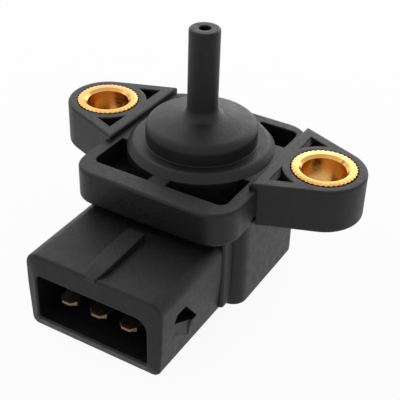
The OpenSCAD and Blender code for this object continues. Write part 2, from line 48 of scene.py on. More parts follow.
# Camera: its place, its turn as a rotation vector in radians, and its focal length in pixels
CAMERA_AT = (60.028, -107.759, 91.745)
CAMERA_TURN = (0.953118, 0.236855, 0.505127)
FOCAL_PIXELS = 931.906
IMAGE_PIXELS = 400
SENSOR_WIDTH = 36

# Stage, in metres and watts: each lamp is a soft panel that faces the target
FLOOR_HALF_W = 3.0
FLOOR_GLOW = 0.93
WORLD_STRENGTH = 0.55
WORLD_WHITE = 1.0
LAMP_TARGET = (0, -0.01, 0.015)
LAMPS = [
    ("panel_left_back", (-0.45, 0.4, 0.2), (0.6, 0.5), 0.8),
    ("panel_back", (0.0, 0.6, 0.2), (0.6, 0.5), 2.0),
    ("panel_left_high", (-0.4, 0.0, 0.5), (0.5, 0.5), 0.7),
]

# Body and plate
BODY_HALF_W = 13.1
BODY_TOP = 13.75
BODY_FRONT = -12.9
BODY_BACK = 6.0
BODY_CORNER = 2.3
PLATE_TOP = 19.15
PLATE_FRONT = -18.6
PLATE_BACK = 10.5
PLATE_CORNERS = (4.5, 4.5, 4.0, 4.0)
RIM_FRONT, RIM_SIDE, RIM_BACK = 3.4, 2.1, 2.0
POCKET_DEPTH = 3.9
POCKET_CORNER, POCKET_FILLET = 1.2, 0.3
WEB_HALF_W = 1.45
COVER_RIM = 0.8
CHAMBER_TOP = 12.2
LEDGE_Z = 8.6

# Port
PORT_Y = -2.6
RING_R, RING_FLAT_R, RING_TOP = 11.2, 9.8, 20.3
RING_SOFT, RING_FILLET = 0.9, 0.12
DISC_R, DISC_SIDE_TOP, DISC_RIM = 8.45, 22.1, 1.35
NIPPLE_R, NIPPLE_FOOT, NIPPLE_FILLET, NIPPLE_TOP, NIPPLE_TIP = 2.3, 24.2, 1.5, 38.05, 0.35
PASSAGE_EDGE = 0.15
PASSAGE_R = 0.85
WELL_R, WELL_TOP = 6.3, 21.55
FRONT_POCKET_END = 5.0
BACK_POCKET_START = 6.0
BACK_POCKET_INSET = 4.5

# Ears and bushings
BUSHING_X = 19.075
BUSHING_R = 4.9
BOLT_HOLE_R = 3.3
BUSHING_BEVEL = 0.45
KNURL_TEETH, KNURL_DEPTH = 40, 0.2
EAR_R = 6.35
EAR_ROOT = 9.6
EAR_STEP_X = 11.9
EAR_RAIL_X = 13.7
EAR_BOTTOM, EAR_TOP = 13.0, 20.05
EAR_POCKET_DEPTH = 5.2
EAR_POCKET_WALL = 1.75
EAR_RING_R = 6.2
FIT_GAP = 0.02
BUSHING_PROUD = 0.1

# Connector
MOUTH_Y = -31.8
SHROUD_HALF_W, SHROUD_TOP, SHROUD_DRAFT = 11.25, 12.7, 0.3
PARTING_Z = 7.2
CAVITY_HALF_W, CAVITY_FLOOR, CAVITY_TOP, CAVITY_DEPTH = 9.12, 2.08, 9.53, 13.3
# Corner radii of the two sections: below, top left and top right
SHROUD_CORNERS = (1.2, 2.0, 2.0)
CAVITY_CORNERS = (0.3, 0.7, 1.9)
RIM_CROWN = 0.45
FLANGE_HALF_W, FLANGE_FRONT, FLANGE_Z = 11.6, -15.3, 1.0
BLADE_PITCH, BLADE_W, BLADE_T, BLADE_Z = 5.0, 2.8, 0.8, 5.6
BLADE_SETBACK, BLADE_BEVEL = 1.2, 0.7
TAIL_Y, TAIL_W, TAIL_TOP = -8.8, 1.2, 9.1
RAMP_START, RAMP_NOSE_L, RAMP_L = 0.4, 3.0, 11.1
RAMP_NOSE_H, RAMP_H = 0.85, 1.1
RAMP_FRONT_W, RAMP_BACK_W = 1.5, 2.9
WINDOW_START, WINDOW_L, WINDOW_TOP, WINDOW_NOSE = 3.5, 6.4, 8.6, 1.3
WINDOW_LEAN, WINDOW_FALL, WINDOW_TOE, WINDOW_SLANT = 1.0, 2.7, 1.3, 3.2
HOLLOW_H, HOLLOW_D, HOLLOW_LEAN = 2.4, 0.45, 0.7
HOLLOW_FLARE = (0.3, 1.0)
MOUTH_OUTER_EDGE, MOUTH_INNER_EDGE = 0.5, 0.35

# Rounding of moulded edges, and how finely round forms are cut
PLATE_EDGE, EAR_EDGE, HOLE_EDGE = 0.5, 0.4, 0.2
BODY_EDGE, FLANGE_EDGE = 0.22, 0.25
POCKET_BEVEL = 0.6
EDGE_STEPS = 5
NOSE_STEPS = 8
ARC_STEPS = 8
BOSS_STEPS = 14
TURN_STEPS = 96
QUARTER_TURN = np.radians(np.linspace(0, 90, EDGE_STEPS + 1))

# How far joined forms reach into each other, and how far cutters run past what they cut
BODY_JOIN, PORT_JOIN, FLANGE_JOIN = 1.0, 0.5, 0.8
PAST_WALL, PAST_SIDE = 0.6, 1.0
# Radius that the well's cutter keeps free at its axis, and how far it stops below the well's top
AXIS_HOLE, WELL_SHORT = 0.001, 0.01

# Scales of the patterns in the materials, in cycles per metre
SHADE_DRIFT, ROUGHNESS_DRIFT, PLASTIC_GRAIN = 260, 900, 4600
TARNISH, POLISH, TURNING_MARKS = 420, 1500, 2600
ROLLING_STREAKS = 4200
STREAK_STRETCH = 0.06


def arc(cx, cy, r, start, end, steps=ARC_STEPS):
    """Points of a circle of radius r about (cx, cy), from start to end in degrees: an (n, 2) array."""
    a = np.radians(np.linspace(start, end, steps + 1))
    return np.column_stack([cx + r * np.cos(a), cy + r * np.sin(a)])


def rounded_box(x0, x1, y0, y1, corners, steps=ARC_STEPS):
    """Counter-clockwise rectangle whose four corners, from (x1, y0) round, have their own radii."""
    right_low, right_high, left_high, left_low = corners
    return np.vstack([
        arc(x1 - right_low, y0 + right_low, right_low, -90, 0, steps),
        arc(x1 - right_high, y1 - right_high, right_high, 0, 90, steps),
        arc(x0 + left_high, y1 - left_high, left_high, 90, 180, steps),
        arc(x0 + left_low, y0 + left_low, left_low, 180, 270, steps),
    ])


def tidy_loop(points):
    """The loop without points that lie on the one before them."""
    gap = np.linalg.norm(points - np.roll(points, 1, axis=0), axis=1)
    return points[gap > 1e-6]


def grown(loop, distance):
    """The loop moved outwards by distance: each point slides along the bisector of its two edges,
    by distance over the cosine of half the turn, which counts as 0.4 at least. A negative distance
    moves it inwards."""
    before = loop - np.roll(loop, 1, axis=0)
    after = np.roll(loop, -1, axis=0) - loop
    normals = []
    for edge in (before, after):
        unit = edge / np.linalg.norm(edge, axis=1)[:, None]
        normals.append(np.column_stack([unit[:, 1], -unit[:, 0]]))
    middle = normals[0] + normals[1]
    middle /= np.linalg.norm(middle, axis=1)[:, None]
    cosine = np.clip((middle * normals[0]).sum(1), 0.4, 1)
    return loop + middle * (distance / cosine)[:, None]


def mesh_object(name, points, faces, material):
    """A mesh in metres from points in millimetres."""
    mesh = bpy.data.meshes.new(name)
    mesh.from_pydata(np.asarray(points, float) * MM, [], faces)
    mesh.validate()
    thing = bpy.data.objects.new(name, mesh)
    bpy.context.scene.collection.objects.link(thing)
    mesh.materials.append(material)
    return thing


class Shell:
    """Collects surfaces as points and faces. Its caps are flat across the axis, 0, 1 or 2 for X, Y
    or Z."""

    axis = 2

    def __init__(self):
        self.points = np.zeros((0, 3))
        self.faces = []

    def add(self, points):
        """Adds points and gives their numbers."""
        first = len(self.points)
        self.points = np.vstack([self.points, points])
        return np.arange(first, first + len(points))

    def bands(self, rings):
        """Quads between neighbouring rings of equal length. Outward for rings that are
        counter-clockwise seen from the side that they advance to."""
        for low, high in zip(rings[:-1], rings[1:]):
            quads = np.column_stack([low, np.roll(low, -1), np.roll(high, -1), high])
            self.faces += quads.tolist()

    def cap(self, rings, flip=False):
        """Flat face inside the first ring and outside the others."""
        numbers = np.concatenate(rings)
        loops = [[Vector(p) for p in self.points[ring]] for ring in rings]
        for triangle in tessellate_polygon(loops):
            a, b, c = (numbers[i] for i in triangle)
            pa, pb, pc = self.points[a], self.points[b], self.points[c]
            up = np.cross(pb - pa, pc - pa)[self.axis] > 0
            self.faces.append([int(a), int(b), int(c)] if up != flip else [int(a), int(c), int(b)])


def lift(loop, z):
    """A flat loop as points at height z."""
    return np.column_stack([loop, np.full(len(loop), z)])


def edge_profile(r, z0, z1):
    """Offset and height up a wall whose two edges are rounded by quarter circles of radius r: the
    offset is r times (sine - 1) and the rise r times (1 - cosine), from 0 to 90 degrees."""
    steps = [(r * (1 - math.sin(a)), r * (1 - math.cos(a))) for a in QUARTER_TURN]
    low = [(-inset, z0 + rise) for inset, rise in steps]
    return low + [(-inset, z1 - rise) for inset, rise in reversed(steps)]


def slab(outline, z0, z1, pockets=(), holes=(), edge=PLATE_EDGE):
    """Closed slab between two heights with rounded edges. Pockets are (loop, loop at the top, depth,
    fillet), open at the top; holes are loops that run right through. Every wall is a loop carried
    down a profile."""
    shell = Shell()
    wall, hole_wall = edge_profile(edge, z0, z1), edge_profile(HOLE_EDGE, z0, z1)
    outer = [shell.add(lift(grown(outline, inset), z)) for inset, z in wall]
    shell.bands(outer)
    top, bottom = [outer[-1]], [outer[0]]
    for loop in holes:
        rings = [shell.add(lift(grown(loop, -inset), z)) for inset, z in hole_wall]
        shell.bands(rings[::-1])
        top.append(rings[-1])
        bottom.append(rings[0])
    for low, high, depth, fillet in pockets:
        floor = [(-fillet * (1 - math.sin(a)), z1 - depth + fillet * (1 - math.cos(a)))
                 for a in QUARTER_TURN]
        floor.append((0, z1 - POCKET_BEVEL))
        down = [(-inset, z) for inset, z in hole_wall[EDGE_STEPS + 1:]]
        rings = [shell.add(lift(grown(low, grow), z)) for grow, z in floor]
        rings += [shell.add(lift(grown(high, grow), z)) for grow, z in down]
        shell.bands(rings[::-1])
        shell.cap([rings[0]])
        top.append(rings[-1])
    shell.cap(top)
    shell.cap(bottom, flip=True)
    return shell


def turned(profile, x, y, steps=TURN_STEPS):
    """Surface of revolution about the upright axis through (x, y). The profile is a list of (radius,
    height) from the bottom of the outside round to the top; a closed profile gives a ring."""
    shell = Shell()
    angle = np.linspace(0, 2 * math.pi, steps, endpoint=False)
    rings = []
    for r, z in profile:
        rings.append(shell.add(np.column_stack([
            x + r * np.cos(angle), y + r * np.sin(angle), np.full(steps, z)])))
    shell.bands(rings + [rings[0]])
    return shell


def end_to_end(runs):
    """One list of profile points from runs of points, laid end to end."""
    return [tuple(p) for p in np.vstack(runs)]


def as_object(name, shell, material):
    """The shell as a Blender object."""
    return mesh_object(name, shell.points, shell.faces, material)


# Materials

# Specular level of the matte plastics, whose grain scatters much of their gloss
PLASTIC_SPECULAR = 0.3


def plain(name, roughness, metallic=0.0):
    """A new material with its node tree, its shader and its Object coordinates."""
    material = bpy.data.materials.new(name)
    material.use_nodes = True
    tree = material.node_tree
    shader = tree.nodes["Principled BSDF"]
    shader.inputs["Roughness"].default_value = roughness
    shader.inputs["Metallic"].default_value = metallic
    place = tree.nodes.new("ShaderNodeTexCoord")
    return material, tree, shader, place.outputs["Object"]


def noise(tree, place, scale, detail=3.0, roughness=0.55):
    """Noise on Object coordinates; scale is in cycles per metre."""
    node = tree.nodes.new("ShaderNodeTexNoise")
    node.inputs["Scale"].default_value = scale
    node.inputs["Detail"].default_value = detail
    node.inputs["Roughness"].default_value = roughness
    tree.links.new(place, node.inputs["Vector"])
    return node.outputs["Fac"]


def ramp(tree, source, low, high, low_value, high_value):
    """Maps source from low..high to two grey values or two colours."""
    node = tree.nodes.new("ShaderNodeValToRGB")
    node.color_ramp.elements[0].position = low
    node.color_ramp.elements[1].position = high
    for element, value in zip(node.color_ramp.elements, (low_value, high_value)):
        element.color = (*value, 1) if isinstance(value, tuple) else (value, value, value, 1)
    tree.links.new(source, node.inputs["Fac"])
    return node.outputs["Color"]


def bump(tree, shader, height, depth, strength=1.0):
    """Bump of the given depth in millimetres on a shader."""
    node = tree.nodes.new("ShaderNodeBump")
    node.inputs["Distance"].default_value = depth * MM
    node.inputs["Strength"].default_value = strength
    tree.links.new(height, node.inputs["Height"])
    tree.links.new(node.outputs["Normal"], shader.inputs["Normal"])


def moulded(name, dark, light, roughness, grain=0.012):
    """Moulded plastic: a fine matte grain, slow drifts of shade and of roughness."""
    material, tree, shader, place = plain(name, roughness)
    shader.inputs["Specular IOR Level"].default_value = PLASTIC_SPECULAR
    shade = ramp(tree, noise(tree, place, SHADE_DRIFT, 4), 0.3, 0.7, dark, light)
    tree.links.new(shade, shader.inputs["Base Color"])
    drift = noise(tree, place, ROUGHNESS_DRIFT, 2)
    polish = ramp(tree, drift, 0.25, 0.75, roughness - 0.05, roughness + 0.06)
    tree.links.new(polish, shader.inputs["Roughness"])
    bump(tree, shader, noise(tree, place, PLASTIC_GRAIN, 2, 0.6), grain)
    return material


def turned_brass(name):
    """Turned brass: slow tarnish, uneven polish and a fine texture."""
    material, tree, shader, place = plain(name, 0.3, 1.0)
    tarnish = noise(tree, place, TARNISH, 5)
    shade = ramp(tree, tarnish, 0.3, 0.72, (0.62, 0.32, 0.09), (0.73, 0.41, 0.13))
    tree.links.new(shade, shader.inputs["Base Color"])
    polish = ramp(tree, noise(tree, place, POLISH, 3), 0.3, 0.7, 0.18, 0.3)
    tree.links.new(polish, shader.inputs["Roughness"])
    bump(tree, shader, noise(tree, place, TURNING_MARKS, 3), 0.005)
    return material


def rolled_strip(name):
    """Dull rolled copper alloy: streaks along the blade and a soft sheen."""
    material, tree, shader, place = plain(name, 0.42, 1.0)
    stretch = tree.nodes.new("ShaderNodeMapping")
    stretch.inputs["Scale"].default_value = (1.0, STREAK_STRETCH, 1.0)
    tree.links.new(place, stretch.inputs["Vector"])
    streaks = noise(tree, stretch.outputs["Vector"], ROLLING_STREAKS, 3)
    shade = ramp(tree, streaks, 0.25, 0.75, (0.12, 0.085, 0.052), (0.24, 0.17, 0.11))
    tree.links.new(shade, shader.inputs["Base Color"])
    bump(tree, shader, streaks, 0.006)
    return material


def speckled(name, dark, light, roughness, scale, metallic=0.0):
    """A finish with a fine speckle between two colours."""
    material, tree, shader, place = plain(name, roughness, metallic)
    shade = ramp(tree, noise(tree, place, scale, 3), 0.3, 0.7, dark, light)
    tree.links.new(shade, shader.inputs["Base Color"])
    bump(tree, shader, noise(tree, place, scale * 2.5, 2), 0.006)
    return material


HOUSING_PLASTIC = moulded("housing_plastic", (0.0035, 0.0035, 0.004), (0.0065, 0.0065, 0.007),
                          0.46, 0.06)
COVER_PLASTIC = moulded("cover_plastic", (0.0065, 0.0065, 0.007), (0.010, 0.010, 0.0105), 0.52)
BRASS = turned_brass("bushing_brass")
BLADE = rolled_strip("blade_bronze")
INNER = {
    "base_cover": COVER_PLASTIC,
    "cover_sealant": speckled("sealant", (0.030, 0.028, 0.026), (0.060, 0.057, 0.052), 0.38, 900),
    "circuit_board": speckled("board_laminate", (0.012, 0.09, 0.035), (0.03, 0.16, 0.07), 0.3, 1600),
    "solder_fillets": speckled("solder", (0.48, 0.48, 0.47), (0.72, 0.72, 0.70), 0.24, 1500, 1.0),
    "sensor_package": moulded("package_plastic", (0.024, 0.024, 0.027), (0.036, 0.036, 0.040), 0.45),
    "package_leads": speckled("tin", (0.52, 0.52, 0.50), (0.68, 0.68, 0.66), 0.3, 2400, 1.0),
    "glass_pedestal": speckled("pedestal_glass", (0.66, 0.76, 0.80), (0.78, 0.87, 0.90), 0.08, 700),
    "sensing_die": speckled("silicon", (0.12, 0.13, 0.16), (0.20, 0.21, 0.25), 0.12, 3000),
    "protective_gel": speckled("gel", (0.72, 0.77, 0.80), (0.86, 0.90, 0.92), 0.06, 500),
    "port_o_ring": speckled("ring_rubber", (0.014, 0.014, 0.014), (0.028, 0.028, 0.028), 0.6, 1800),
    "conditioning_chip": moulded("chip_epoxy", (0.022, 0.022, 0.025), (0.034, 0.034, 0.038), 0.5),
    "chip_leads": speckled("chip_tin", (0.52, 0.52, 0.50), (0.68, 0.68, 0.66), 0.3, 2400, 1.0),
}
CERAMIC = speckled("capacitor_ceramic", (0.34, 0.24, 0.15), (0.48, 0.36, 0.24), 0.4, 2200)
RESISTOR = speckled("resistor_ceramic", (0.022, 0.022, 0.030), (0.040, 0.040, 0.050), 0.35, 2200)
for part in ("supply_capacitor", "output_capacitor", "filter_capacitor"):
    INNER[part] = CERAMIC
for part in ("load_resistor", "output_resistor"):
    INNER[part] = RESISTOR


def dress_inner_nodes():
    """Gives the kept nodes of the model their finishes."""
    for node, material in INNER.items():
        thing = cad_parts[node]
        thing.data.materials.clear()
        thing.data.materials.append(material)


# Forms of the housing

def plate():
    """Plate on top of the body: rounded outline and four pockets round the ring boss."""
    outline = tidy_loop(rounded_box(-BODY_HALF_W, BODY_HALF_W, PLATE_FRONT, PLATE_BACK, PLATE_CORNERS))
    side = BODY_HALF_W - RIM_SIDE
    front, back = PLATE_FRONT + RIM_FRONT, PLATE_BACK - RIM_BACK
    pockets = []
    for sign in (1, -1):
        near, far = PORT_Y - FRONT_POCKET_END, PORT_Y + BACK_POCKET_START
        front_pocket = boss_pocket(WEB_HALF_W, side, front, near)
        back_pocket = boss_pocket(BACK_POCKET_INSET, side, back, far)
        for loop in (front_pocket, back_pocket):
            loop = counter_clockwise(tidy_loop(loop * (sign, 1)))
            pockets.append((loop, loop, POCKET_DEPTH, POCKET_FILLET))
    return slab(outline, BODY_TOP, PLATE_TOP, pockets, edge=PLATE_EDGE)


def counter_clockwise(loop):
    """The loop, turned round if it runs clockwise."""
    x, y = loop[:, 0], loop[:, 1]
    area = (x * np.roll(y, -1) - y * np.roll(x, -1)).sum()
    return loop if area > 0 else loop[::-1]


def boss_pocket(inner_x, side, end_y, near_y):
    """Pocket between the plate's corner and the ring boss: from the web along the rim, round the
    corner to the side, in to the boss and back along its circle to the web."""
    r = RING_R
    away = math.copysign(1, end_y - PORT_Y)
    side_x = min(side, math.sqrt(r * r - (near_y - PORT_Y) ** 2))
    start = math.atan2(near_y - PORT_Y, side_x)
    inner_y = away * math.sqrt(r * r - inner_x ** 2)
    end = math.atan2(inner_y, inner_x)
    c = POCKET_CORNER
    centre = (side - c, end_y - away * c)
    corner = arc(*centre, c, 0, 90 * away)
    circle = arc(0, PORT_Y, r, math.degrees(start), math.degrees(end), BOSS_STEPS)
    return np.vstack([[(side, near_y)], corner, [(inner_x, end_y)], circle[::-1]])


def ear_frame():
    """Angle at which an ear's slanted side touches the circle round its bushing."""
    reach = BUSHING_X - EAR_STEP_X
    return math.atan2(EAR_ROOT, -reach) - math.acos(EAR_R / math.hypot(reach, EAR_ROOT))


def ear():
    """Right ear: a circle round the bushing with its tangents, two pockets and the bushing's hole."""
    touch = math.degrees(ear_frame())
    outline = np.vstack([
        [(EAR_STEP_X, -EAR_ROOT)],
        arc(BUSHING_X, 0, EAR_R, -touch, touch, 28),
        [(EAR_STEP_X, EAR_ROOT)],
    ])
    hole = arc(BUSHING_X, 0, BUSHING_R + FIT_GAP, 0, 360, 72)[:-1]
    pockets = []
    for side in ((1, 1), (1, -1)):
        low = counter_clockwise(ear_pocket(EAR_RAIL_X + POCKET_BEVEL) * side)
        high = counter_clockwise(ear_pocket(EAR_RAIL_X) * side)
        pockets.append((low, high, EAR_POCKET_DEPTH, POCKET_FILLET))
    return slab(outline, EAR_BOTTOM, EAR_TOP, pockets, [hole], EAR_EDGE)


def ear_pocket(near_x):
    """Wedge between the rail at near_x, the slanted wall and the plastic round the bushing, whose
    circle keeps ten of its fine points between the two."""
    touch = ear_frame()
    slope = -math.cos(touch) / math.sin(touch)
    drop = EAR_POCKET_WALL / math.sin(touch)

    def wall_y(x):
        return EAR_ROOT + slope * (x - EAR_STEP_X) - drop

    angles = np.radians(np.linspace(91, 179, 400))
    rim = np.column_stack([BUSHING_X + EAR_RING_R * np.cos(angles), EAR_RING_R * np.sin(angles)])
    inside = rim[(rim[:, 1] < wall_y(rim[:, 0])) & (rim[:, 0] > near_x)]
    circle = inside[np.linspace(0, len(inside) - 1, 10).astype(int)]
    return counter_clockwise(tidy_loop(np.vstack([circle, [(near_x, wall_y(near_x))]])))


def body():
    """Body below the plate, open at the bottom for its cover."""
    outline = tidy_loop(rounded_box(-BODY_HALF_W, BODY_HALF_W, BODY_FRONT, BODY_BACK, [BODY_CORNER] * 4))
    inner = grown(outline, -COVER_RIM)
    shell = Shell()
    top = BODY_TOP + BODY_JOIN
    wall = edge_profile(BODY_EDGE, 0, top)[:EDGE_STEPS + 1]
    outer = [shell.add(lift(grown(outline, inset), z)) for inset, z in wall + [(0, top)]]
    low = [shell.add(lift(inner, 0)), shell.add(lift(inner, CHAMBER_TOP))]
    shell.bands(outer)
    shell.bands(low[::-1])
    shell.cap([outer[0], low[0]], flip=True)
    shell.cap([outer[-1]])
    shell.cap([low[-1]], flip=True)
    return shell


def port():
    """Ring boss, disc and nipple turned about the port's axis, with the passage and the well."""
    slant = math.degrees(math.atan2(RING_TOP - PLATE_TOP, RING_R - RING_FLAT_R))
    foot = NIPPLE_FOOT + NIPPLE_FILLET
    edge = PASSAGE_EDGE
    low = BODY_TOP + PORT_JOIN
    profile = [
        [(RING_R, low), (RING_R, PLATE_TOP)],
        arc(RING_FLAT_R, RING_TOP - RING_SOFT, RING_SOFT, 90 - slant, 90),
        arc(DISC_R + RING_FILLET, RING_TOP + RING_FILLET, RING_FILLET, 270, 180, 4),
        arc(DISC_R - DISC_RIM, DISC_SIDE_TOP, DISC_RIM, 0, 86, 12),
        arc(NIPPLE_R + NIPPLE_FILLET, foot, NIPPLE_FILLET, 266, 180, 12),
        arc(NIPPLE_R - NIPPLE_TIP, NIPPLE_TOP - NIPPLE_TIP, NIPPLE_TIP, 0, 90, 6),
        arc(PASSAGE_R + edge, NIPPLE_TOP - edge, edge, 90, 180, 4),
        [(PASSAGE_R, WELL_TOP), (WELL_R, WELL_TOP), (WELL_R, low)],
    ]
    return turned(end_to_end(profile), 0, PORT_Y)


def section(half_w, low_half_w, z0, z1, part_z, low_r, left_r, right_r):
    """Upright section of the connector, counter-clockwise seen from the mouth: right side up, over
    the top, left side down and back along the bottom. Every section has the same number of points."""
    side = 5
    right = np.column_stack([np.linspace(low_half_w, half_w, side), np.linspace(z0 + low_r, part_z, side)])
    upper = np.column_stack([np.full(side, half_w), np.linspace(part_z, z1 - right_r, side)])
    left_upper = np.column_stack([np.full(side, -half_w), np.linspace(z1 - left_r, part_z, side)])
    left = right[::-1] * (-1, 1)
    top = np.linspace(half_w - right_r, -half_w + left_r, 12)[1:-1]
    bottom = np.linspace(-low_half_w + low_r, low_half_w - low_r, 12)[1:-1]
    return np.vstack([
        right[:-1], upper[:-1],
        arc(half_w - right_r, z1 - right_r, right_r, 0, 90),
        np.column_stack([top, np.full(len(top), z1)]),
        arc(-half_w + left_r, z1 - left_r, left_r, 90, 180)[:-1],
        left_upper[:-1], left[:-1],
        arc(-low_half_w + low_r, z0 + low_r, low_r, 180, 270),
        np.column_stack([bottom, np.full(len(bottom), z0)]),
        arc(low_half_w - low_r, z0 + low_r, low_r, 270, 360)[:-1],
    ])


def stand(loop, y):
    """A section as points at the distance y."""
    return np.column_stack([loop[:, 0], np.full(len(loop), y), loop[:, 1]])


def shroud():
    """Connector shroud: the outer section carried forward to the mouth, over a crowned rim that
    slopes back to the outside, and the cavity's section carried back in to its floor."""
    low_half_w = SHROUD_HALF_W - SHROUD_DRAFT
    outer = section(SHROUD_HALF_W, low_half_w, 0, SHROUD_TOP, PARTING_Z, *SHROUD_CORNERS)
    inner = section(CAVITY_HALF_W, CAVITY_HALF_W, CAVITY_FLOOR, CAVITY_TOP, PARTING_Z, *CAVITY_CORNERS)
    shell = Shell()
    shell.axis = 1
    edge, lead = MOUTH_OUTER_EDGE, MOUTH_INNER_EDGE
    rings = [stand(outer, BODY_FRONT + BODY_JOIN)]
    rim_y = MOUTH_Y + RIM_CROWN
    for a in QUARTER_TURN:
        rings.append(stand(grown(outer, -edge * (1 - math.cos(a))), rim_y + edge * (1 - math.sin(a))))
    for a in QUARTER_TURN:
        rings.append(stand(grown(inner, lead * (1 - math.sin(a))), MOUTH_Y + lead * (1 - math.cos(a))))
    floor_y = MOUTH_Y + CAVITY_DEPTH
    for a in QUARTER_TURN:
        rings.append(stand(grown(inner, -lead * (1 - math.cos(a))), floor_y - lead * (1 - math.sin(a))))
    numbers = [shell.add(ring) for ring in rings]
    shell.bands(numbers)
    shell.cap([numbers[0]])
    shell.cap([numbers[-1]], flip=True)
    return shell


def flange():
    """Flange at the shroud's root, rounded along its edges."""
    corners = (0.5, 0.1, 0.1, 0.5)
    back = BODY_FRONT + BODY_JOIN
    outline = rounded_box(-FLANGE_HALF_W, FLANGE_HALF_W, FLANGE_FRONT, back, corners, 4)
    return slab(outline, FLANGE_Z, BODY_TOP + FLANGE_JOIN, edge=FLANGE_EDGE)


def latch_ramp():
    """Bar on top of the shroud: its section is carried back along a nose, where width and height
    grow with the sine of the way from 0 to 90 degrees, and then straight on to the tallest end."""
    shell = Shell()
    shell.axis = 1
    front = MOUTH_Y + RAMP_START
    sunk, tip_h = 0.6, 0.02
    top_r, low_r = 0.18, 0.05
    stations = []
    for step in np.linspace(0, 1, NOSE_STEPS + 1):
        rise = math.sin(step * math.pi / 2)
        stations.append((front + RAMP_NOSE_L * step, RAMP_FRONT_W + (RAMP_BACK_W - RAMP_FRONT_W) * rise,
                         tip_h + (RAMP_NOSE_H - tip_h) * rise))
    stations.append((front + RAMP_L, RAMP_BACK_W, RAMP_H))
    rings = []
    corners = (low_r, top_r, top_r, low_r)
    for y, width, top in stations:
        loop = rounded_box(-width / 2, width / 2, SHROUD_TOP - sunk, SHROUD_TOP + top, corners, 4)
        rings.append(shell.add(stand(loop, y)))
    shell.bands(rings[::-1])
    shell.cap([rings[0]], flip=True)
    shell.cap([rings[-1]])
    return shell


def side_cut(outline, floor_x, flare):
    """Solid that cuts into the shroud's right side inside an upright (y, z) outline, down to the
    distance floor_x(y, z) from the middle plane. The outline shrinks by the first flare at the floor
    and grows by the second one outside the shroud."""
    shell = Shell()
    shell.axis = 0
    loop = counter_clockwise(np.asarray(outline, float))
    low, high = grown(loop, -flare[0]), grown(loop, flare[1])
    inner = shell.add(np.column_stack([floor_x(low[:, 0], low[:, 1]), low]))
    outer = shell.add(np.column_stack([np.full(len(high), SHROUD_HALF_W + PAST_SIDE), high]))
    shell.bands([inner, outer])
    shell.cap([inner], flip=True)
    shell.cap([outer])
    return shell


def window_cutters():
    """Two solids for the right side: the wedge-shaped window, and the hollow below its sill, whose
    floor is a plane: x grows from the sill's depth with the distance below the slanted sill."""
    front = MOUTH_Y + WINDOW_START
    back = front + WINDOW_L
    toe = back - WINDOW_TOE
    tip_z = WINDOW_TOP - WINDOW_NOSE
    sill_z = tip_z - WINDOW_FALL
    tilt = math.atan2(WINDOW_FALL, toe - front)
    window = [(front, tip_z), (toe, sill_z), (back, sill_z), (back - WINDOW_SLANT, WINDOW_TOP),
              (front + WINDOW_LEAN, WINDOW_TOP)]
    hollow = [(front, tip_z), (front + HOLLOW_LEAN, tip_z - HOLLOW_H),
              (toe - HOLLOW_LEAN, sill_z - HOLLOW_H), (toe, sill_z), (toe, sill_z + HOLLOW_FLARE[0]),
              (front + HOLLOW_FLARE[0], tip_z + HOLLOW_FLARE[0])]

    def through(y, z):
        return np.full(len(y), CAVITY_HALF_W - PAST_WALL)

    def leaning(y, z):
        below = (tip_z - z) * math.cos(tilt) - (y - front) * math.sin(tilt)
        return SHROUD_HALF_W - HOLLOW_D + (HOLLOW_D - SHROUD_DRAFT) * below / HOLLOW_H

    return [side_cut(window, through, (0, 0)), side_cut(hollow, leaning, HOLLOW_FLARE)]


def well_cutter():
    """Solid of the well below the disc, down to the board."""
    top = WELL_TOP - WELL_SHORT
    profile = [(AXIS_HOLE, LEDGE_Z), (WELL_R, LEDGE_Z), (WELL_R, top), (AXIS_HOLE, top)]
    return turned(profile, 0, PORT_Y)


def boolean(thing, others, operation):
    """Joins or cuts the thing with the others, and deletes them."""
    group = bpy.data.collections.new("operands")
    for other in others:
        group.objects.link(other)
    modifier = thing.modifiers.new(operation.lower(), "BOOLEAN")
    modifier.operation = operation
    modifier.operand_type = "COLLECTION"
    modifier.collection = group
    modifier.solver = "EXACT"
    apply_modifiers(thing)
    for other in others:
        bpy.data.objects.remove(other)
    bpy.data.collections.remove(group)


def apply_modifiers(thing):
    """Replaces the thing's mesh by what its modifiers make of it."""
    bpy.context.view_layer.update()
    made = bpy.data.meshes.new_from_object(thing.evaluated_get(bpy.context.evaluated_depsgraph_get()))
    thing.modifiers.clear()
    thing.data = made


def soften(thing, angle=32):
    """Smooth shading with sharp edges above the angle; large flat faces set the normals."""
    thing.data.shade_smooth()
    thing.data.set_sharp_from_angle(angle=math.radians(angle))
    weighted = thing.modifiers.new("weighted_normals", "WEIGHTED_NORMAL")
    weighted.keep_sharp = True
    weighted.mode = "FACE_AREA"


def mirrored(shell):
    """The shell on the other side of the middle plane, facing outwards."""
    other = Shell()
    other.points = shell.points * (-1, 1, 1)
    other.faces = [face[::-1] for face in shell.faces]
    return other


def build_housing():
    """The moulding as one mesh: its forms joined, then the windows and the well cut."""
    right_ear = ear()
    forms = [("ear_right", right_ear), ("ear_left", mirrored(right_ear)), ("body", body()),
             ("port", port()), ("shroud", shroud()), ("flange", flange()), ("ramp", latch_ramp())]
    housing = as_object("housing_moulding", plate(), HOUSING_PLASTIC)
    boolean(housing, [as_object(n, s, HOUSING_PLASTIC) for n, s in forms], "UNION")
    windows = window_cutters()
    cuts = windows + [mirrored(shell) for shell in windows] + [well_cutter()]
    cutters = [(f"cut_{number}", shell) for number, shell in enumerate(cuts)]
    boolean(housing, [as_object(n, s, HOUSING_PLASTIC) for n, s in cutters], "DIFFERENCE")
    soften(housing)
    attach(housing, "root")
    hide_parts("housing")


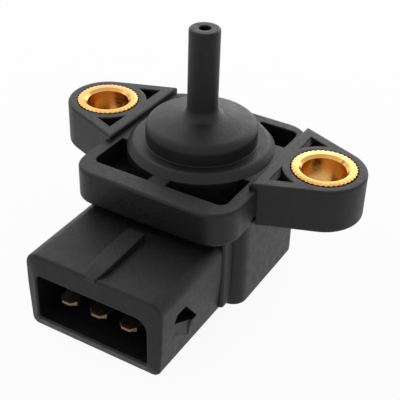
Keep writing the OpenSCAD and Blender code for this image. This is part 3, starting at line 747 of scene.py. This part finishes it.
def build_bushing(name, node, x):
    """Brass bushing: the outside is a circle with a rounded ripple for the knurl, the ends are
    bevelled inside and softly rounded outside."""
    low, high = EAR_BOTTOM - BUSHING_PROUD, EAR_TOP + BUSHING_PROUD
    bevel, soft = BUSHING_BEVEL, 0.12
    profile = end_to_end([
        arc(BUSHING_R - soft, low + soft, soft, 270, 360, 3),
        arc(BUSHING_R - soft, high - soft, soft, 0, 90, 3),
        [(BOLT_HOLE_R + bevel, high), (BOLT_HOLE_R, high - bevel), (BOLT_HOLE_R, low + bevel),
         (BOLT_HOLE_R + bevel, low)],
    ])
    shell = turned(profile, x, 0, KNURL_TEETH * 4)
    place = shell.points[:, :2] - (x, 0)
    radius = np.linalg.norm(place, axis=1)
    angle = np.arctan2(place[:, 1], place[:, 0])
    ripple = KNURL_DEPTH * (0.5 - 0.5 * np.cos(KNURL_TEETH * angle))
    shrink = np.where(radius > BUSHING_R - soft - 0.01, ripple, 0)
    shell.points[:, :2] = (x, 0) + place * ((radius - shrink) / radius)[:, None]
    thing = as_object(name, shell, BRASS)
    soften(thing, 40)
    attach(thing, "root")
    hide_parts(node)


def build_blade(name, node, x):
    """Flat blade: a soft-cornered section carried back from a tip that is bevelled on all sides, and
    a narrow tail carried up from its end."""
    shell = Shell()
    shell.axis = 1
    tip = MOUTH_Y + BLADE_SETBACK
    r = 0.12
    half_w, half_t = BLADE_W / 2, BLADE_T / 2
    stations = [(tip, half_w - BLADE_BEVEL, half_t / 2), (tip + BLADE_BEVEL, half_w, half_t),
                (TAIL_Y + BLADE_T / 2, half_w, half_t)]
    rings = []
    for y, w, t in stations:
        loop = rounded_box(x - w, x + w, BLADE_Z - t, BLADE_Z + t, [min(r, t * 0.6)] * 4, 3)
        rings.append(shell.add(stand(loop, y)))
    shell.bands(rings[::-1])
    shell.cap([rings[0]], flip=True)
    shell.cap([rings[-1]])
    tail = rounded_box(x - TAIL_W / 2, x + TAIL_W / 2, TAIL_Y - BLADE_T / 2, TAIL_Y + BLADE_T / 2 - 0.01,
                       [0.1] * 4, 3)
    shell.axis = 2
    rings = [shell.add(lift(tail, BLADE_Z)), shell.add(lift(tail, TAIL_TOP))]
    shell.bands(rings)
    shell.cap([rings[0]], flip=True)
    shell.cap([rings[-1]])
    thing = as_object(name, shell, BLADE)
    soften(thing, 40)
    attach(thing, "root")
    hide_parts(node)


# Stage

def build_camera():
    """Camera at the photograph's place and angle."""
    data = bpy.data.cameras.new("camera")
    data.sensor_width = SENSOR_WIDTH
    data.sensor_fit = "HORIZONTAL"
    data.lens = FOCAL_PIXELS * SENSOR_WIDTH / IMAGE_PIXELS
    data.clip_start = 0.005
    camera = bpy.data.objects.new("camera", data)
    bpy.context.scene.collection.objects.link(camera)
    turn = Vector(CAMERA_TURN)
    rotation = Quaternion(turn.normalized(), turn.length).to_matrix().to_4x4()
    camera.matrix_world = Matrix.Translation(Vector(CAMERA_AT) * MM) @ rotation
    bpy.context.scene.camera = camera


def seen_share(tree, share):
    """Share for rays from the camera, from gloss and through glass, and nothing for others."""
    path = tree.nodes.new("ShaderNodeLightPath")
    total = path.outputs["Is Camera Ray"]
    for ray in ("Is Glossy Ray", "Is Transmission Ray"):
        either = tree.nodes.new("ShaderNodeMath")
        either.operation = "MAXIMUM"
        tree.links.new(total, either.inputs[0])
        tree.links.new(path.outputs[ray], either.inputs[1])
        total = either.outputs[0]
    part = tree.nodes.new("ShaderNodeMath")
    part.operation = "MULTIPLY"
    part.inputs[1].default_value = share
    tree.links.new(total, part.inputs[0])
    return part.outputs[0]


def build_floor():
    """Pale floor that the camera and shiny surfaces see as white, apart from the object's soft
    shadow, which the painted share keeps."""
    size = FLOOR_HALF_W
    mesh = bpy.data.meshes.new("floor")
    corners = [(-size, -size, 0), (size, -size, 0), (size, size, 0), (-size, size, 0)]
    mesh.from_pydata(corners, [], [(0, 1, 2, 3)])
    floor = bpy.data.objects.new("floor", mesh)
    bpy.context.scene.collection.objects.link(floor)
    material = bpy.data.materials.new("floor_paint")
    material.use_nodes = True
    tree = material.node_tree
    shader = tree.nodes["Principled BSDF"]
    shader.inputs["Base Color"].default_value = (0.9, 0.9, 0.9, 1)
    shader.inputs["Roughness"].default_value = 0.9
    glow = tree.nodes.new("ShaderNodeEmission")
    mix = tree.nodes.new("ShaderNodeMixShader")
    tree.links.new(seen_share(tree, FLOOR_GLOW), mix.inputs["Fac"])
    tree.links.new(shader.outputs["BSDF"], mix.inputs[1])
    tree.links.new(glow.outputs["Emission"], mix.inputs[2])
    tree.links.new(mix.outputs["Shader"], tree.nodes["Material Output"].inputs["Surface"])
    mesh.materials.append(material)


def area_light(name, at, target, size, power):
    """Soft white rectangular lamp at a place in metres, facing the target."""
    data = bpy.data.lights.new(name, "AREA")
    data.shape = "RECTANGLE"
    data.size, data.size_y = size
    data.energy = power
    lamp = bpy.data.objects.new(name, data)
    bpy.context.scene.collection.objects.link(lamp)
    lamp.location = at
    lamp.rotation_euler = (Vector(target) - Vector(at)).to_track_quat("-Z", "Y").to_euler()


def build_lights():
    """Light tent: soft panels behind and above the object, and an even world that the camera and
    shiny surfaces see as white."""
    for name, place, size, power in LAMPS:
        area_light(name, place, LAMP_TARGET, size, power)
    world = bpy.data.worlds.new("world")
    world.use_nodes = True
    bpy.context.scene.world = world
    tree = world.node_tree
    tree.nodes["Background"].inputs["Color"].default_value = (1, 1, 1, 1)
    tree.nodes["Background"].inputs["Strength"].default_value = WORLD_STRENGTH
    white = tree.nodes.new("ShaderNodeBackground")
    white.inputs["Color"].default_value = (1, 1, 1, 1)
    mix = tree.nodes.new("ShaderNodeMixShader")
    tree.links.new(seen_share(tree, WORLD_WHITE), mix.inputs["Fac"])
    tree.links.new(tree.nodes["Background"].outputs[0], mix.inputs[1])
    tree.links.new(white.outputs[0], mix.inputs[2])
    tree.links.new(mix.outputs[0], tree.nodes["World Output"].inputs["Surface"])


build_camera()
build_floor()
build_lights()
dress_inner_nodes()
build_housing()
build_bushing("bushing_left_brass", "bushing_left", -BUSHING_X)
build_bushing("bushing_right_brass", "bushing_right", BUSHING_X)
build_blade("blade_supply", "terminal_supply", -BLADE_PITCH)
build_blade("blade_signal", "terminal_signal", 0)
build_blade("blade_ground", "terminal_ground", BLADE_PITCH)

bpy.context.scene.view_settings.view_transform = "Standard"
